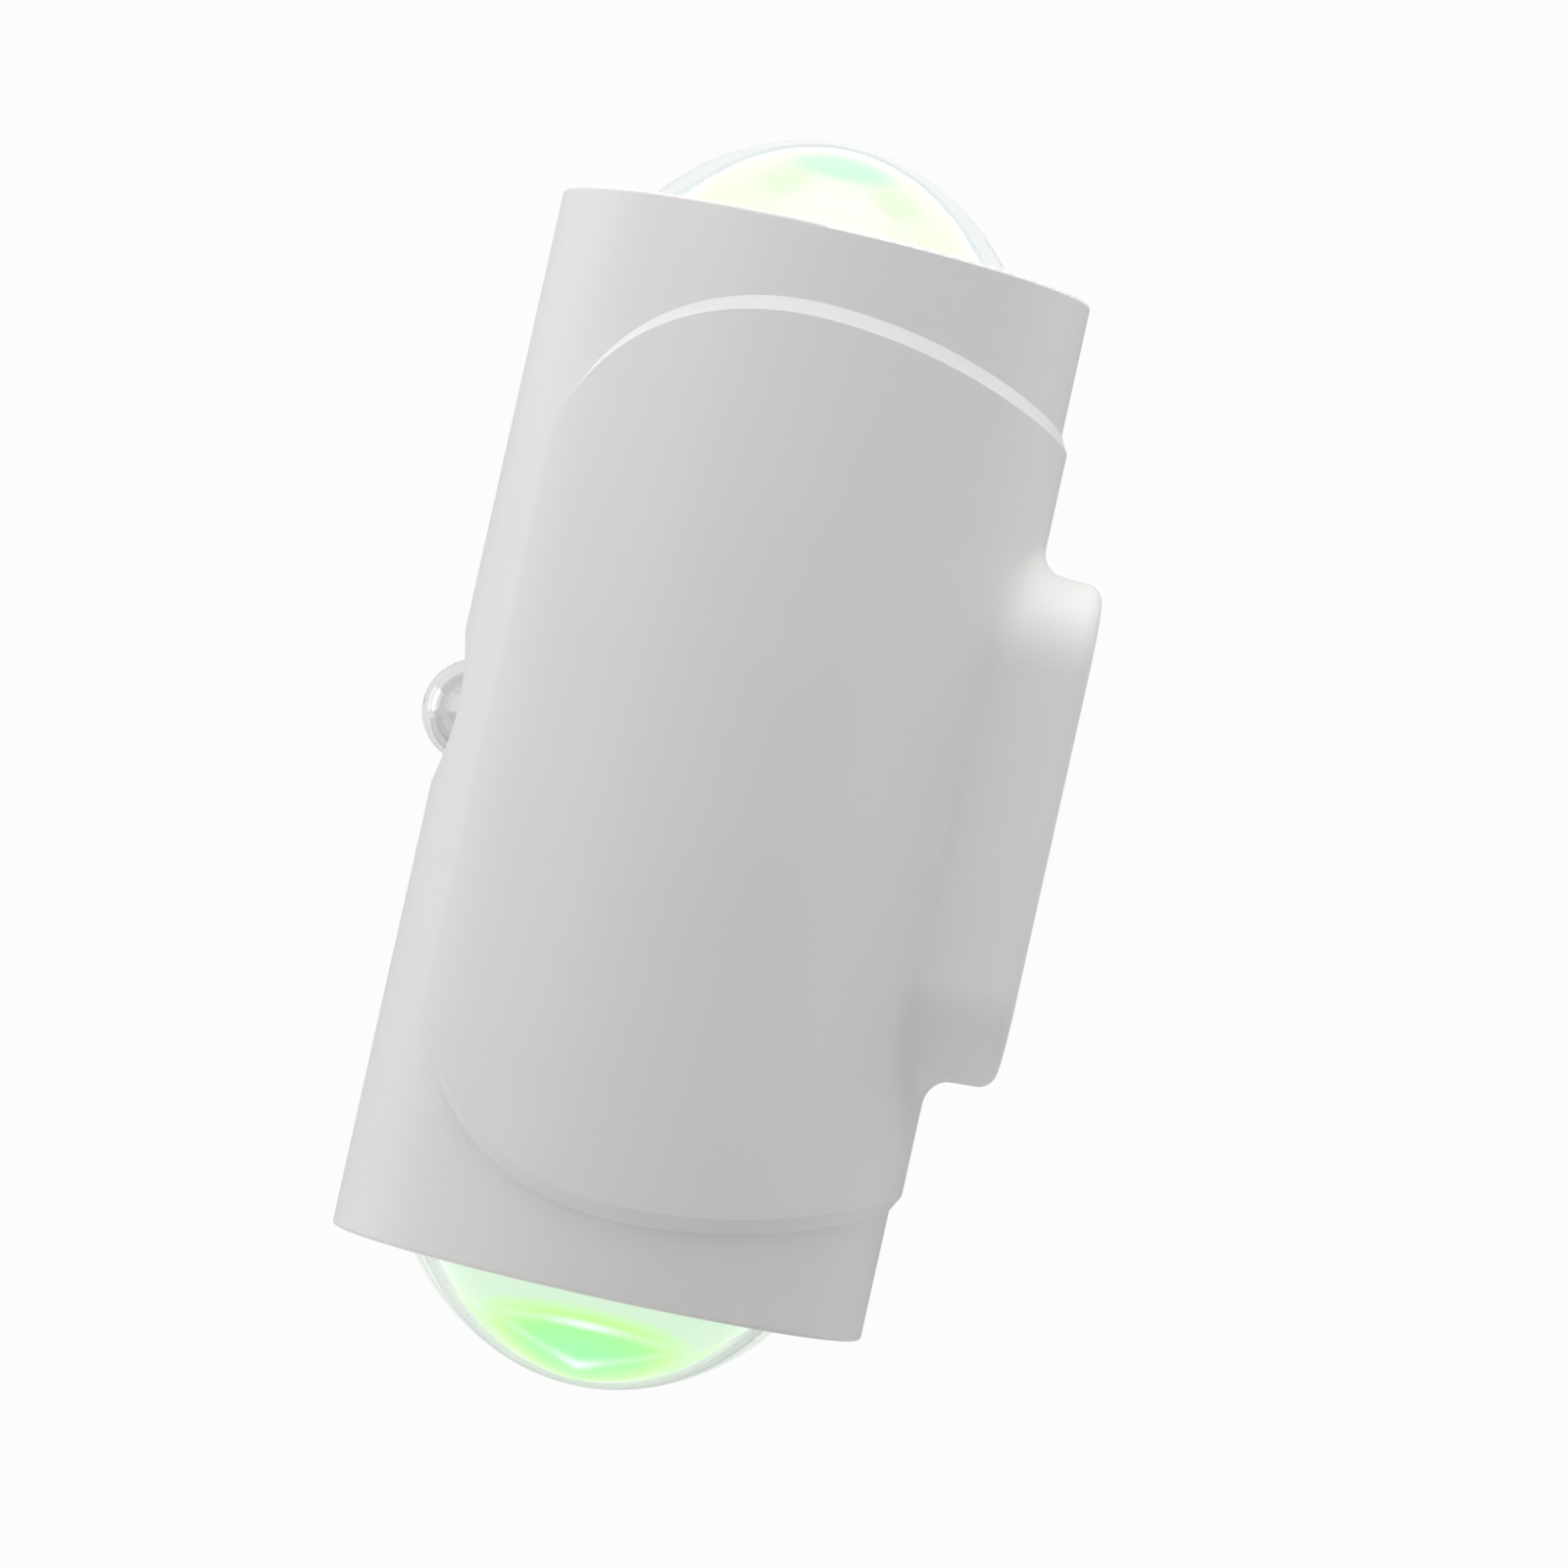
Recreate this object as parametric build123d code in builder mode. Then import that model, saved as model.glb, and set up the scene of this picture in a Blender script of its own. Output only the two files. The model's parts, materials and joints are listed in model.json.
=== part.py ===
"""Wall light that shines up and down from a cast aluminium tube.

Millimetres. The wall is the plane X = 0 and the light stands out from it towards -X. The tube's
axis is vertical, Z = 0 is at half its height, and the origin is the middle of the wall plate's back.
"""

import os
from math import cos, pi, radians, sin, sqrt, tan

from build123d import *

os.makedirs("parts", exist_ok=True)

# Tube
TUBE_R = 35.0
TUBE_HALF = 68.55  # half the tube's height
AXIS_X = -44.4  # tube axis, measured from the wall
RIM_ROUND = 0.5
CAVITY_R = 32.2  # driver space in the middle
CAVITY_HALF = 36.0
CAVITY_BACK = 26.0  # flat back of the driver space, from the tube axis
WEB_TOP = 41.0  # far face of the web that closes the driver space
CHAMBER_R = 29.5  # light chamber beyond each web
LENS_BORE_R = 32.0
LEDGE_Z = 60.35  # ledge that carries the lens

# Raised shoulder on the sides and back of the tube
SHOULDER_R = 36.05
SHOULDER_SHIFT = 0.13  # its centre lies this far behind the tube axis
SHOULDER_PEAK = 58.8  # height of its outline at the sides
SHOULDER_DROP = 7.5  # how much lower the outline is at the back
FADE_TURN = 63.4  # degrees past the side where it has faded into the tube
FADE_START = 54.0  # degrees past the side where it begins to fade
OUTLINE_R = 38.2  # round part of the outline, laid flat
RAMP_RUN = 1.84  # fall of the ramp along Z for each millimetre of height

# Neck that stands on the wall
NECK_WIDTH = 38.0
NECK_HEIGHT = 66.0
NECK_CORNER = 12.0
NECK_DRAFT = 3.5
NECK_BLEND = 3.5
NECK_BACK_ROUND = 2.3
POCKET_WIDTH = 29.0
POCKET_HEIGHT = 58.0
POCKET_CORNER = 6.5
POCKET_DEPTH = 17.0
SEAL_WIDTH = 1.0
SEAL_DEPTH = 1.2
DOOR_WIDTH = 25.0  # way from the pocket to the driver space
DOOR_HEIGHT = 46.0

# Round port in the front
PORT_R = 9.5
PORT_FLOOR = -29.5  # from the tube axis
PORT_BOSS_R = 12.5
PORT_BOSS_END = -26.5
PORT_LIGHT_R = 7.0
PORT_ROUND = 0.9
PORT_TAP_R = 1.0
PORT_TAP_DEPTH = 2.4
FRONT_SCREW_Z = 9.7
DOME_R = 6.85
DOME_CENTRE = -31.5
DOME_WALL = 1.5

# End lenses: an aspheric dome with a flat flange
LENS_APEX = 82.35
LENS_CURVE_R = 27.2  # radius of curvature at the apex
LENS_CONIC = -0.35
LENS_DOME_R = 28.0
LENS_FLANGE_R = 31.6
LENS_INNER_R = 25.5
LENS_SKIN = 1.2  # thickness at the apex
OPTIC_APEX = 80.5
OPTIC_R = 24.9

# Light boards
BOARD_T = 1.6
TAP_R = 1.25  # tapped holes for the small screws
CLEAR_R = 1.35  # clearance holes for the small screws
WEB_TAP_DEPTH = 4.2
LED_BOARD_R = 13.6
LED_SCREW_Y = 10.6
LEAD_X = 18.5  # where the leads pass each web, from the tube axis
LEAD_Y = 1.1
LEAD_R = 0.75
LEAD_HOLE_R = 3.2

# Driver
DRIVER_X = -4.0  # front face of the driver board, from the tube axis
DRIVER_WIDTH = 23.0
DRIVER_HEIGHT = 44.0
DRIVER_SCREWS = (9.0, 19.5)
SUPPLY_Z = 12.0

# Wall plate
PLATE_GAP = 0.4  # all round, inside the pocket
PLATE_T = 1.5
PLATE_FACE = -1.0  # its back face; the gasket is behind it
SCREW_SPACING = 46.0
SCREW_SLOT = 4.5
SLOT_LENGTH = 8.0
TAB_WIDTH = 10.0
TAB_DEPTH = 6.5
CABLE_R = 4.0
LOCK_X = -4.1
LOCK_R = 1.5
COVER_SCREWS = (8.0, 25.6)
COVER_FACE = -16.2  # front face of the back cover
COVER_T = 2.0

SECTION = Plane(origin=(AXIS_X, 0, 0), x_dir=(1, 0, 0), z_dir=(0, -1, 0))
TUBE_AXIS = Axis((AXIS_X, 0, 0), (0, 0, 1))
PORT_AXIS = Axis((AXIS_X, 0, 0), (1, 0, 0))


def level(z):
    """Horizontal plane at height z, centred on the tube axis."""
    return Plane(origin=(AXIS_X, 0, z))


def station(x):
    """Plane parallel to the wall at x. Its x runs along Y and its y runs up."""
    return Plane(origin=(x, 0, 0), x_dir=(0, 1, 0), z_dir=(1, 0, 0))


def corners(y, z):
    """Four points in a station plane, one in each corner."""
    return [(a * y, b * z) for a in (-1, 1) for b in (-1, 1)]


def save(part, name):
    """Writes one sub-part under the name of its node."""
    part.label = name
    export_step(part, f"parts/{name}.step")


def save_ends(part, name):
    """Writes the upper sub-part, and its mirror image for the lower end."""
    save(part, f"top_{name}")
    save(mirror(part, about=Plane.XY), f"bottom_{name}")


def turned(points, plane=SECTION, axis=TUBE_AXIS):
    """Solid of revolution whose half section is the closed polygon through the points."""
    with BuildPart() as body:
        with BuildSketch(plane):
            with BuildLine():
                Polyline(*points, close=True)
            make_face()
        revolve(axis=axis)
    return body.part


def ring(inner, outer, low, high):
    """Plain ring round the tube axis."""
    with BuildPart() as body:
        with BuildSketch(level(low)):
            Circle(outer)
            Circle(inner, mode=Mode.SUBTRACT)
        extrude(amount=high - low)
    return body.part


def screw(head_r, head_h, shank_r, length, drive_r):
    """Pan head screw along +Z with its head's underside at Z = 0 and a hexagonal recess."""
    with BuildPart() as body:
        Cylinder(shank_r, length, align=(Align.CENTER, Align.CENTER, Align.MAX))
        Cylinder(head_r, head_h, align=(Align.CENTER, Align.CENTER, Align.MIN))
        fillet(body.edges().group_by(Axis.Z)[-1], head_h * 0.45)
        with BuildSketch(Plane.XY.offset(head_h)):
            RegularPolygon(drive_r, 6)
        extrude(amount=-head_h * 0.6, mode=Mode.SUBTRACT)
    return body.part


def group(part, places):
    """Copies of one solid at several planes, as one sub-part."""
    with BuildPart() as body:
        for place in places:
            add(part.moved(place.location))
    return body.part


def facing_wall(x, points):
    """Planes at x whose normals point to the wall, at points given as (y, z)."""
    return [Plane(origin=(x, y, z), x_dir=(0, 1, 0), z_dir=(1, 0, 0)) for y, z in points]


def leads(routes):
    """Insulated wires, each along a route of (points, bend radii)."""
    with BuildPart() as wires:
        for points, bends in routes:
            with BuildLine() as line:
                FilletPolyline(*points, radius=bends)
            path = line.wires()[0]
            with BuildSketch(Plane(origin=path @ 0, z_dir=path % 0)):
                Circle(LEAD_R)
            sweep(path=path)
    return wires.part


def sag(r):
    """Depth of the aspheric lens surface below its apex at radius r."""
    return r * r / (LENS_CURVE_R * (1 + sqrt(1 - (1 + LENS_CONIC) * (r / LENS_CURVE_R) ** 2)))


def dome_curve(apex, base_r, steps=8):
    """Points of a lens surface from its apex down to its base radius."""
    radii = [base_r * i / steps for i in range(steps + 1)]
    return [(r, apex - sag(r * LENS_DOME_R / base_r)) for r in radii]


def outline_points():
    """Half of the shoulder's upper outline as (angle from the back, height), back to front."""
    back_steps, front_steps, last_turn, run_out = 8, 8, 80, 1.3
    points = []
    for i in range(back_steps):
        angle = pi / 2 * i / back_steps
        points.append((angle, SHOULDER_PEAK - SHOULDER_DROP * cos(angle) ** 2))
    for i in range(front_steps + 1):
        turn = radians(last_turn) * i / front_steps
        height = SHOULDER_PEAK - OUTLINE_R * (1 - cos(turn))
        points.append((pi / 2 + OUTLINE_R * sin(turn) / TUBE_R, height))
    angle, height = points[-1]
    points.append((angle + run_out / TUBE_R, height - run_out * tan(radians(last_turn))))
    return points


def ramp_edge(radius):
    """The ramp's line at one radius, from one side's front edge round the back to the other."""
    half = outline_points()
    both = [(-angle, z) for angle, z in reversed(half[1:])] + half
    drop = (radius - TUBE_R) * RAMP_RUN
    return Spline(*[(AXIS_X + radius * cos(a), radius * sin(a), z - drop) for a, z in both])


# ---------------------------------------------------------------- housing

# The shoulder: a slightly larger cylinder that fades into the tube towards the front.
fade_end = radians(90 + FADE_TURN)
fade_tip = (TUBE_R * cos(fade_end), TUBE_R * sin(fade_end))
with BuildPart() as shoulder:
    with BuildSketch(level(-SHOULDER_PEAK - 1)):
        with BuildLine():
            half_turn = 90 + FADE_START
            around = CenterArc((SHOULDER_SHIFT, 0), SHOULDER_R, -half_turn, 2 * half_turn)
            along_tip = (-sin(fade_end), cos(fade_end))
            fade = Spline(around @ 1, fade_tip, tangents=(around % 1, along_tip))
            mirror(fade, about=Plane.XZ)
            Line(fade_tip, (fade_tip[0], -fade_tip[1]))
        make_face()
    extrude(amount=2 * SHOULDER_PEAK + 2)

# A ruled surface is the ramp round its upper edge. What is above it is cut away.
ramp = Face.make_surface_from_curves(ramp_edge(TUBE_R - 2), ramp_edge(TUBE_R + 4))
above_ramp = Solid.extrude(ramp, Vector(0, 0, SHOULDER_PEAK))
with BuildPart(mode=Mode.PRIVATE) as shoulder_cut:
    add(shoulder.part)
    add(above_ramp, mode=Mode.SUBTRACT)
    add(above_ramp.mirror(Plane.XY), mode=Mode.SUBTRACT)

with BuildPart() as housing:
    with BuildSketch(level(-TUBE_HALF)):
        Circle(TUBE_R)
    extrude(amount=2 * TUBE_HALF)
    fillet(housing.edges().filter_by(GeomType.CIRCLE), RIM_ROUND)
    add(shoulder_cut.part)

    # Neck, drafted wider towards the tube and blended into the shoulder.
    with BuildSketch(Plane(origin=(0, 0, 0), x_dir=(0, -1, 0), z_dir=(-1, 0, 0))):
        RectangleRounded(NECK_WIDTH, NECK_HEIGHT, NECK_CORNER)
    extrude(amount=-AXIS_X - TUBE_R / 2, taper=-NECK_DRAFT)
    blend_from = AXIS_X + 20
    on_neck = [
        e
        for e in housing.edges(Select.NEW)
        if e.bounding_box().max.X < -1 and e.bounding_box().min.X > blend_from
    ]
    fillet(on_neck, NECK_BLEND)
    fillet(housing.faces().sort_by(Axis.X)[-1].edges(), NECK_BACK_ROUND)

    # Light chambers and lens seats at both ends.
    for side in (1, -1):
        with BuildSketch(Plane(origin=(AXIS_X, 0, side * WEB_TOP), z_dir=(0, 0, side))):
            Circle(CHAMBER_R)
        extrude(amount=TUBE_HALF, mode=Mode.SUBTRACT)
        with BuildSketch(Plane(origin=(AXIS_X, 0, side * LEDGE_Z), z_dir=(0, 0, side))):
            Circle(LENS_BORE_R)
        extrude(amount=TUBE_HALF, mode=Mode.SUBTRACT)
    mouths = housing.edges().filter_by(
        lambda e: e.geom_type == GeomType.CIRCLE
        and abs(e.radius - LENS_BORE_R) < 0.01
        and abs(abs(e.center().Z) - TUBE_HALF) < 0.01
    )
    chamfer(mouths, RIM_ROUND)

    # Driver space, open to the wall through the door and the neck's pocket.
    with BuildSketch(level(-CAVITY_HALF)):
        Circle(CAVITY_R)
        with Locations((CAVITY_BACK, 0)):
            Rectangle(CAVITY_R, 2 * CAVITY_R, align=(Align.MIN, Align.CENTER), mode=Mode.SUBTRACT)
    extrude(amount=2 * CAVITY_HALF, mode=Mode.SUBTRACT)
    with BuildSketch(station(0)):
        RectangleRounded(POCKET_WIDTH, POCKET_HEIGHT, POCKET_CORNER)
    extrude(amount=-POCKET_DEPTH, mode=Mode.SUBTRACT)
    with BuildSketch(station(0)):
        rebate = 2 * SEAL_WIDTH
        RectangleRounded(POCKET_WIDTH + rebate, POCKET_HEIGHT + rebate, POCKET_CORNER + SEAL_WIDTH)
    extrude(amount=-SEAL_DEPTH, mode=Mode.SUBTRACT)
    with BuildSketch(station(-POCKET_DEPTH)):
        RectangleRounded(DOOR_WIDTH, DOOR_HEIGHT, POCKET_CORNER - 2)
    extrude(amount=AXIS_X + CAVITY_BACK + POCKET_DEPTH - 0.5, mode=Mode.SUBTRACT)

    # Bosses for the cover screws, and posts for the driver board.
    boss_r, boss_length, post_r, tap_depth = 2.9, 8.0, 2.6, 8.0
    cover_bosses = corners(*COVER_SCREWS)
    driver_posts = corners(*DRIVER_SCREWS)
    with BuildSketch(station(-POCKET_DEPTH - 0.1)):
        with Locations(*cover_bosses):
            Circle(boss_r)
    extrude(amount=-boss_length)
    with BuildSketch(station(AXIS_X + DRIVER_X)):
        with Locations(*driver_posts):
            Circle(post_r)
    extrude(amount=-(CAVITY_R + DRIVER_X))
    for face, places in ((-POCKET_DEPTH, cover_bosses), (AXIS_X + DRIVER_X, driver_posts)):
        with BuildSketch(station(face)):
            with Locations(*places):
                Circle(TAP_R)
        extrude(amount=-tap_depth, mode=Mode.SUBTRACT)

    # Front port: a boss inside, a round seat outside and a hole for the light.
    front_screws = [(0, FRONT_SCREW_Z), (0, -FRONT_SCREW_Z)]
    port_floor_t = PORT_BOSS_END - PORT_FLOOR
    with BuildSketch(station(AXIS_X + PORT_BOSS_END)):
        Circle(PORT_BOSS_R)
    extrude(amount=-2 * port_floor_t)
    with BuildSketch(station(AXIS_X + PORT_FLOOR)):
        Circle(PORT_R)
    extrude(amount=-TUBE_R, mode=Mode.SUBTRACT)
    with BuildSketch(station(AXIS_X + PORT_BOSS_END)):
        with Locations(*front_screws):
            Circle(PORT_TAP_R)
    extrude(amount=-PORT_TAP_DEPTH, mode=Mode.SUBTRACT)
    with BuildSketch(station(AXIS_X + PORT_BOSS_END)):
        Circle(PORT_LIGHT_R)
    extrude(amount=-port_floor_t, mode=Mode.SUBTRACT)

    # Holes in the webs for the leads and the light board screws.
    with BuildSketch(level(-WEB_TOP)):
        with Locations((LEAD_X, 0)):
            Circle(LEAD_HOLE_R)
    extrude(amount=2 * WEB_TOP, mode=Mode.SUBTRACT)
    for side in (1, -1):
        with BuildSketch(Plane(origin=(AXIS_X, 0, side * WEB_TOP), z_dir=(0, 0, side))):
            with Locations((0, LED_SCREW_Y), (0, -LED_SCREW_Y)):
                Circle(TAP_R)
        extrude(amount=-WEB_TAP_DEPTH, mode=Mode.SUBTRACT)

    # Tapped holes for the locking screws, up through the top of the neck and down through its bottom.
    with BuildSketch(Plane(origin=(LOCK_X, 0, -NECK_HEIGHT), z_dir=(0, 0, 1))):
        Circle(LOCK_R)
    extrude(amount=2 * NECK_HEIGHT, mode=Mode.SUBTRACT)

    port_mouth = [
        e
        for e in housing.edges()
        if e.bounding_box().max.X < AXIS_X - TUBE_R + 2
        and abs(e.bounding_box().size.Z - 2 * PORT_R) < 0.1
    ]
    fillet(port_mouth, PORT_ROUND)
save(housing.part, "housing")

# ---------------------------------------------------------------- end lights

glass_curve = dome_curve(LENS_APEX, LENS_DOME_R)
flange_top = glass_curve[-1][1]
flange_low = flange_top - 2.5
with BuildPart() as lens:
    with BuildSketch(SECTION):
        with BuildLine():
            outside = Spline(*glass_curve, tangents=((1, 0), (1, -1.9)))
            inside = Spline(*dome_curve(LENS_APEX - LENS_SKIN, LENS_INNER_R), tangents=((1, 0), (1, -1.9)))
            Polyline(
                outside @ 1,
                (LENS_FLANGE_R, flange_top),
                (LENS_FLANGE_R, flange_low),
                (LENS_INNER_R, flange_low),
                inside @ 1,
            )
            Line(inside @ 0, outside @ 0)
        make_face()
    revolve(axis=TUBE_AXIS)
save_ends(lens.part, "lens")

save_ends(ring(29.7, 31.8, LEDGE_Z, flange_low), "lens_gasket")
ring_top = flange_top + 2.0
lens_ring = turned(
    [
        (28.8, flange_top),
        (31.95, flange_top),
        (31.95, ring_top),
        (29.4, ring_top),
        (28.8, ring_top - 0.6),
    ]
)
save_ends(lens_ring, "lens_ring")

with BuildPart() as optic:
    with BuildSketch(SECTION):
        with BuildLine():
            crown = Spline(*dome_curve(OPTIC_APEX, OPTIC_R), tangents=((1, 0), (1, -1.9)))
            rim = Polyline(
                crown @ 1,
                (OPTIC_R, flange_low - 0.1),
                (27.4, flange_low - 0.1),
                (27.4, flange_low - 0.85),
                (24.0, flange_low - 0.85),
                (11.0, 46.0),
                (9.6, 45.2),
            )
            hollow = Spline(rim @ 1, (6.5, 49.4), (0, 51.0), tangents=((0, 1), (-1, 0)))
            Line(hollow @ 1, crown @ 0)
        make_face()
    revolve(axis=TUBE_AXIS)
save_ends(optic.part, "optic")

with BuildPart() as optic_holder:
    add(
        turned(
            [
                (14.4, WEB_TOP),
                (14.4, 44.5),
                (25.2, 59.3),
                (25.2, 60.4),
                (29.2, 60.4),
                (29.2, 59.2),
                (26.7, 59.2),
                (15.9, 44.4),
                (15.9, WEB_TOP),
            ]
        )
    )
    with Locations((AXIS_X + LEAD_X - 3, 0, WEB_TOP)):
        Box(9, 10, 2 * LEAD_HOLE_R, mode=Mode.SUBTRACT)
save_ends(optic_holder.part, "optic_holder")

with BuildPart() as led_board:
    with BuildSketch(level(WEB_TOP)):
        Circle(LED_BOARD_R)
        with Locations((0, LED_SCREW_Y), (0, -LED_SCREW_Y)):
            Circle(CLEAR_R, mode=Mode.SUBTRACT)
    extrude(amount=BOARD_T)
save_ends(led_board.part, "led_board")

board_top = WEB_TOP + BOARD_T
with BuildPart() as led:
    with BuildSketch(level(board_top)):
        RectangleRounded(13.5, 13.5, 0.8)
    extrude(amount=0.8)
    with BuildSketch(level(board_top + 0.8)):
        Circle(5.4)
    extrude(amount=0.5)
    fillet(led.edges().group_by(Axis.Z)[-1], 0.4)
save_ends(led.part, "led")

small_screw = screw(head_r=2.2, head_h=1.6, shank_r=1.2, length=5.0, drive_r=0.9)
on_board = [
    Plane(origin=(AXIS_X, y, board_top), z_dir=(0, 0, 1)) for y in (LED_SCREW_Y, -LED_SCREW_Y)
]
save_ends(group(small_screw, on_board), "led_screws")

web_low = CAVITY_HALF
grommet_axis = Axis((AXIS_X + LEAD_X, 0, 0), (0, 0, 1))
grommet_plane = Plane(origin=(AXIS_X + LEAD_X, 0, 0), x_dir=(1, 0, 0), z_dir=(0, -1, 0))
lead_grommet = turned(
    [
        (2.3, web_low - 1),
        (4.4, web_low - 1),
        (4.4, web_low),
        (LEAD_HOLE_R - 0.05, web_low),
        (LEAD_HOLE_R - 0.05, WEB_TOP),
        (4.4, WEB_TOP),
        (4.4, WEB_TOP + 1),
        (2.3, WEB_TOP + 1),
    ],
    grommet_plane,
    grommet_axis,
)
save_ends(lead_grommet, "lead_grommet")

lead_start, lead_high, lead_low = 7.6, board_top + LEAD_R, 29.0
board_back = DRIVER_X + BOARD_T
end_routes = [
    (
        [
            (AXIS_X + lead_start, y, lead_high),
            (AXIS_X + LEAD_X, y, lead_high),
            (AXIS_X + LEAD_X, y, lead_low),
            (AXIS_X + 4, y, DRIVER_SCREWS[1]),
            (AXIS_X + board_back, y, DRIVER_SCREWS[1]),
        ],
        [3.0, 6.0, 4.0],
    )
    for y in (LEAD_Y, -LEAD_Y)
]
save_ends(leads(end_routes), "led_leads")

# ---------------------------------------------------------------- front light

dome_inner = DOME_R - DOME_WALL
flange_x = DOME_CENTRE + 1.3
with BuildPart() as front_lens:
    with BuildSketch(SECTION):
        with BuildLine():
            Line((DOME_CENTRE - DOME_R, 0), (DOME_CENTRE - dome_inner, 0))
            CenterArc((DOME_CENTRE, 0), dome_inner, 180, -90)
            Polyline(
                (DOME_CENTRE, dome_inner),
                (flange_x, dome_inner),
                (flange_x, PORT_R - 0.3),
                (DOME_CENTRE, PORT_R - 0.3),
                (DOME_CENTRE, DOME_R),
            )
            CenterArc((DOME_CENTRE, 0), DOME_R, 90, 90)
        make_face()
    revolve(axis=PORT_AXIS)
save(front_lens.part, "front_lens")

front_seal = [(flange_x, 7.4), (flange_x, 9.2), (PORT_FLOOR, 9.2), (PORT_FLOOR, 7.4)]
save(turned(front_seal, axis=PORT_AXIS), "front_lens_seal")
front_ring = [
    (DOME_CENTRE, 7.2),
    (DOME_CENTRE, 9.45),
    (DOME_CENTRE - 1.1, 9.45),
    (DOME_CENTRE - 1.1, 7.6),
    (DOME_CENTRE - 0.7, 7.2),
]
save(turned(front_ring, axis=PORT_AXIS), "front_lens_ring")
front_cup = [
    (PORT_FLOOR, 6.2),
    (PORT_FLOOR, 6.9),
    (PORT_BOSS_END - 0.05, 6.9),
    (PORT_BOSS_END - 0.05, 2.8),
    (PORT_BOSS_END - 0.4, 2.8),
]
save(turned(front_cup, axis=PORT_AXIS), "front_reflector")

with BuildPart() as front_board:
    with BuildSketch(station(AXIS_X + PORT_BOSS_END)):
        Circle(12.0)
        with Locations(*front_screws):
            Circle(PORT_TAP_R + 0.1, mode=Mode.SUBTRACT)
    extrude(amount=BOARD_T)
save(front_board.part, "front_led_board")

with BuildPart() as front_led:
    with BuildSketch(station(AXIS_X + PORT_BOSS_END)):
        Rectangle(3.4, 3.4)
    extrude(amount=-0.8)
    with BuildSketch(station(AXIS_X + PORT_BOSS_END - 0.8)):
        Circle(1.4)
    extrude(amount=-0.9)
    fillet(front_led.edges().group_by(Axis.X)[0], 0.7)
save(front_led.part, "front_led")

tiny_screw = screw(head_r=1.6, head_h=1.2, shank_r=0.95, length=3.6, drive_r=0.7)
front_back = AXIS_X + PORT_BOSS_END + BOARD_T
save(group(tiny_screw, facing_wall(front_back, front_screws)), "front_led_screws")

front_routes = [
    (
        [
            (front_back, y, -5.0),
            (front_back + 7, y, -5.0),
            (AXIS_X + DRIVER_X - 6, y, -9.0),
            (AXIS_X + DRIVER_X, y, -9.0),
        ],
        4.0,
    )
    for y in (LEAD_Y, -LEAD_Y)
]
save(leads(front_routes), "front_led_leads")

# ---------------------------------------------------------------- driver

with BuildPart() as driver_board:
    with BuildSketch(station(AXIS_X + DRIVER_X)):
        RectangleRounded(DRIVER_WIDTH, DRIVER_HEIGHT, 1.0)
        with Locations(*corners(*DRIVER_SCREWS)):
            Circle(CLEAR_R, mode=Mode.SUBTRACT)
    extrude(amount=BOARD_T)
save(driver_board.part, "driver_board")

board_x = AXIS_X + board_back
save(group(small_screw, facing_wall(board_x, corners(*DRIVER_SCREWS))), "driver_screws")

with BuildPart() as transformer:
    with BuildSketch(station(board_x)):
        with Locations((0, -1)):
            RectangleRounded(15.5, 15.0, 0.8)
    extrude(amount=2.0)
    with BuildSketch(station(board_x + 2)):
        with Locations((0, -1)):
            Rectangle(9.0, 12.5)
    extrude(amount=9.0)
    with BuildSketch(station(board_x + 3.5)):
        with Locations((0, -1)):
            Rectangle(14.5, 6.0)
    extrude(amount=6.0)
    with BuildSketch(station(board_x + 11)):
        with Locations((0, -1)):
            RectangleRounded(15.5, 13.5, 0.8)
    extrude(amount=1.5)
save(transformer.part, "driver_transformer")


def can(y, z, radius, height):
    """Electrolytic capacitor standing on the driver board."""
    with BuildPart() as body:
        with BuildSketch(station(board_x)):
            with Locations((y, z)):
                Circle(radius)
        extrude(amount=height)
        fillet(body.edges().group_by(Axis.X)[-1], radius * 0.2)
        fillet(body.edges().group_by(Axis.X)[0], radius * 0.15)
    return body.part


def block(y, z, width, height, depth, x=board_x):
    """Moulded component on the driver board."""
    with BuildPart() as body:
        with BuildSketch(station(x)):
            with Locations((y, z)):
                RectangleRounded(width, height, min(width, height) * 0.12)
        extrude(amount=depth)
        fillet(body.edges().group_by(Axis.X)[-1 if depth > 0 else 0], min(width, height) * 0.08)
    return body.part


save(can(-6.4, -13.2, 3.9, 13.0), "driver_input_capacitor")
save(can(6.4, -13.2, 3.4, 11.0), "driver_output_capacitor")
save(can(8.4, 9.3, 2.2, 7.0), "driver_choke")
save(block(-8.0, 11.7, 5.0, 9.0, 8.5), "driver_film_capacitor")
save(block(8.0, 14.4, 5.6, 4.0, 3.0), "driver_bridge")
save(block(0, 0, 3.9, 4.9, -1.6, AXIS_X + DRIVER_X), "driver_controller")

# ---------------------------------------------------------------- back cover and terminals

cover_gap = 0.3
cover_size = (POCKET_WIDTH - 2 * cover_gap, POCKET_HEIGHT - 2 * cover_gap)
cover_corner = POCKET_CORNER - cover_gap
inlet_r = 4.0
cover_back = COVER_FACE + COVER_T
with BuildPart() as cover_gasket:
    with BuildSketch(station(-POCKET_DEPTH)):
        RectangleRounded(*cover_size, cover_corner)
        RectangleRounded(DOOR_WIDTH + 1, DOOR_HEIGHT + 1, 4.5, mode=Mode.SUBTRACT)
        with Locations(*corners(*COVER_SCREWS)):
            Circle(CLEAR_R, mode=Mode.SUBTRACT)
    extrude(amount=COVER_FACE + POCKET_DEPTH)
save(cover_gasket.part, "back_cover_gasket")

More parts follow.
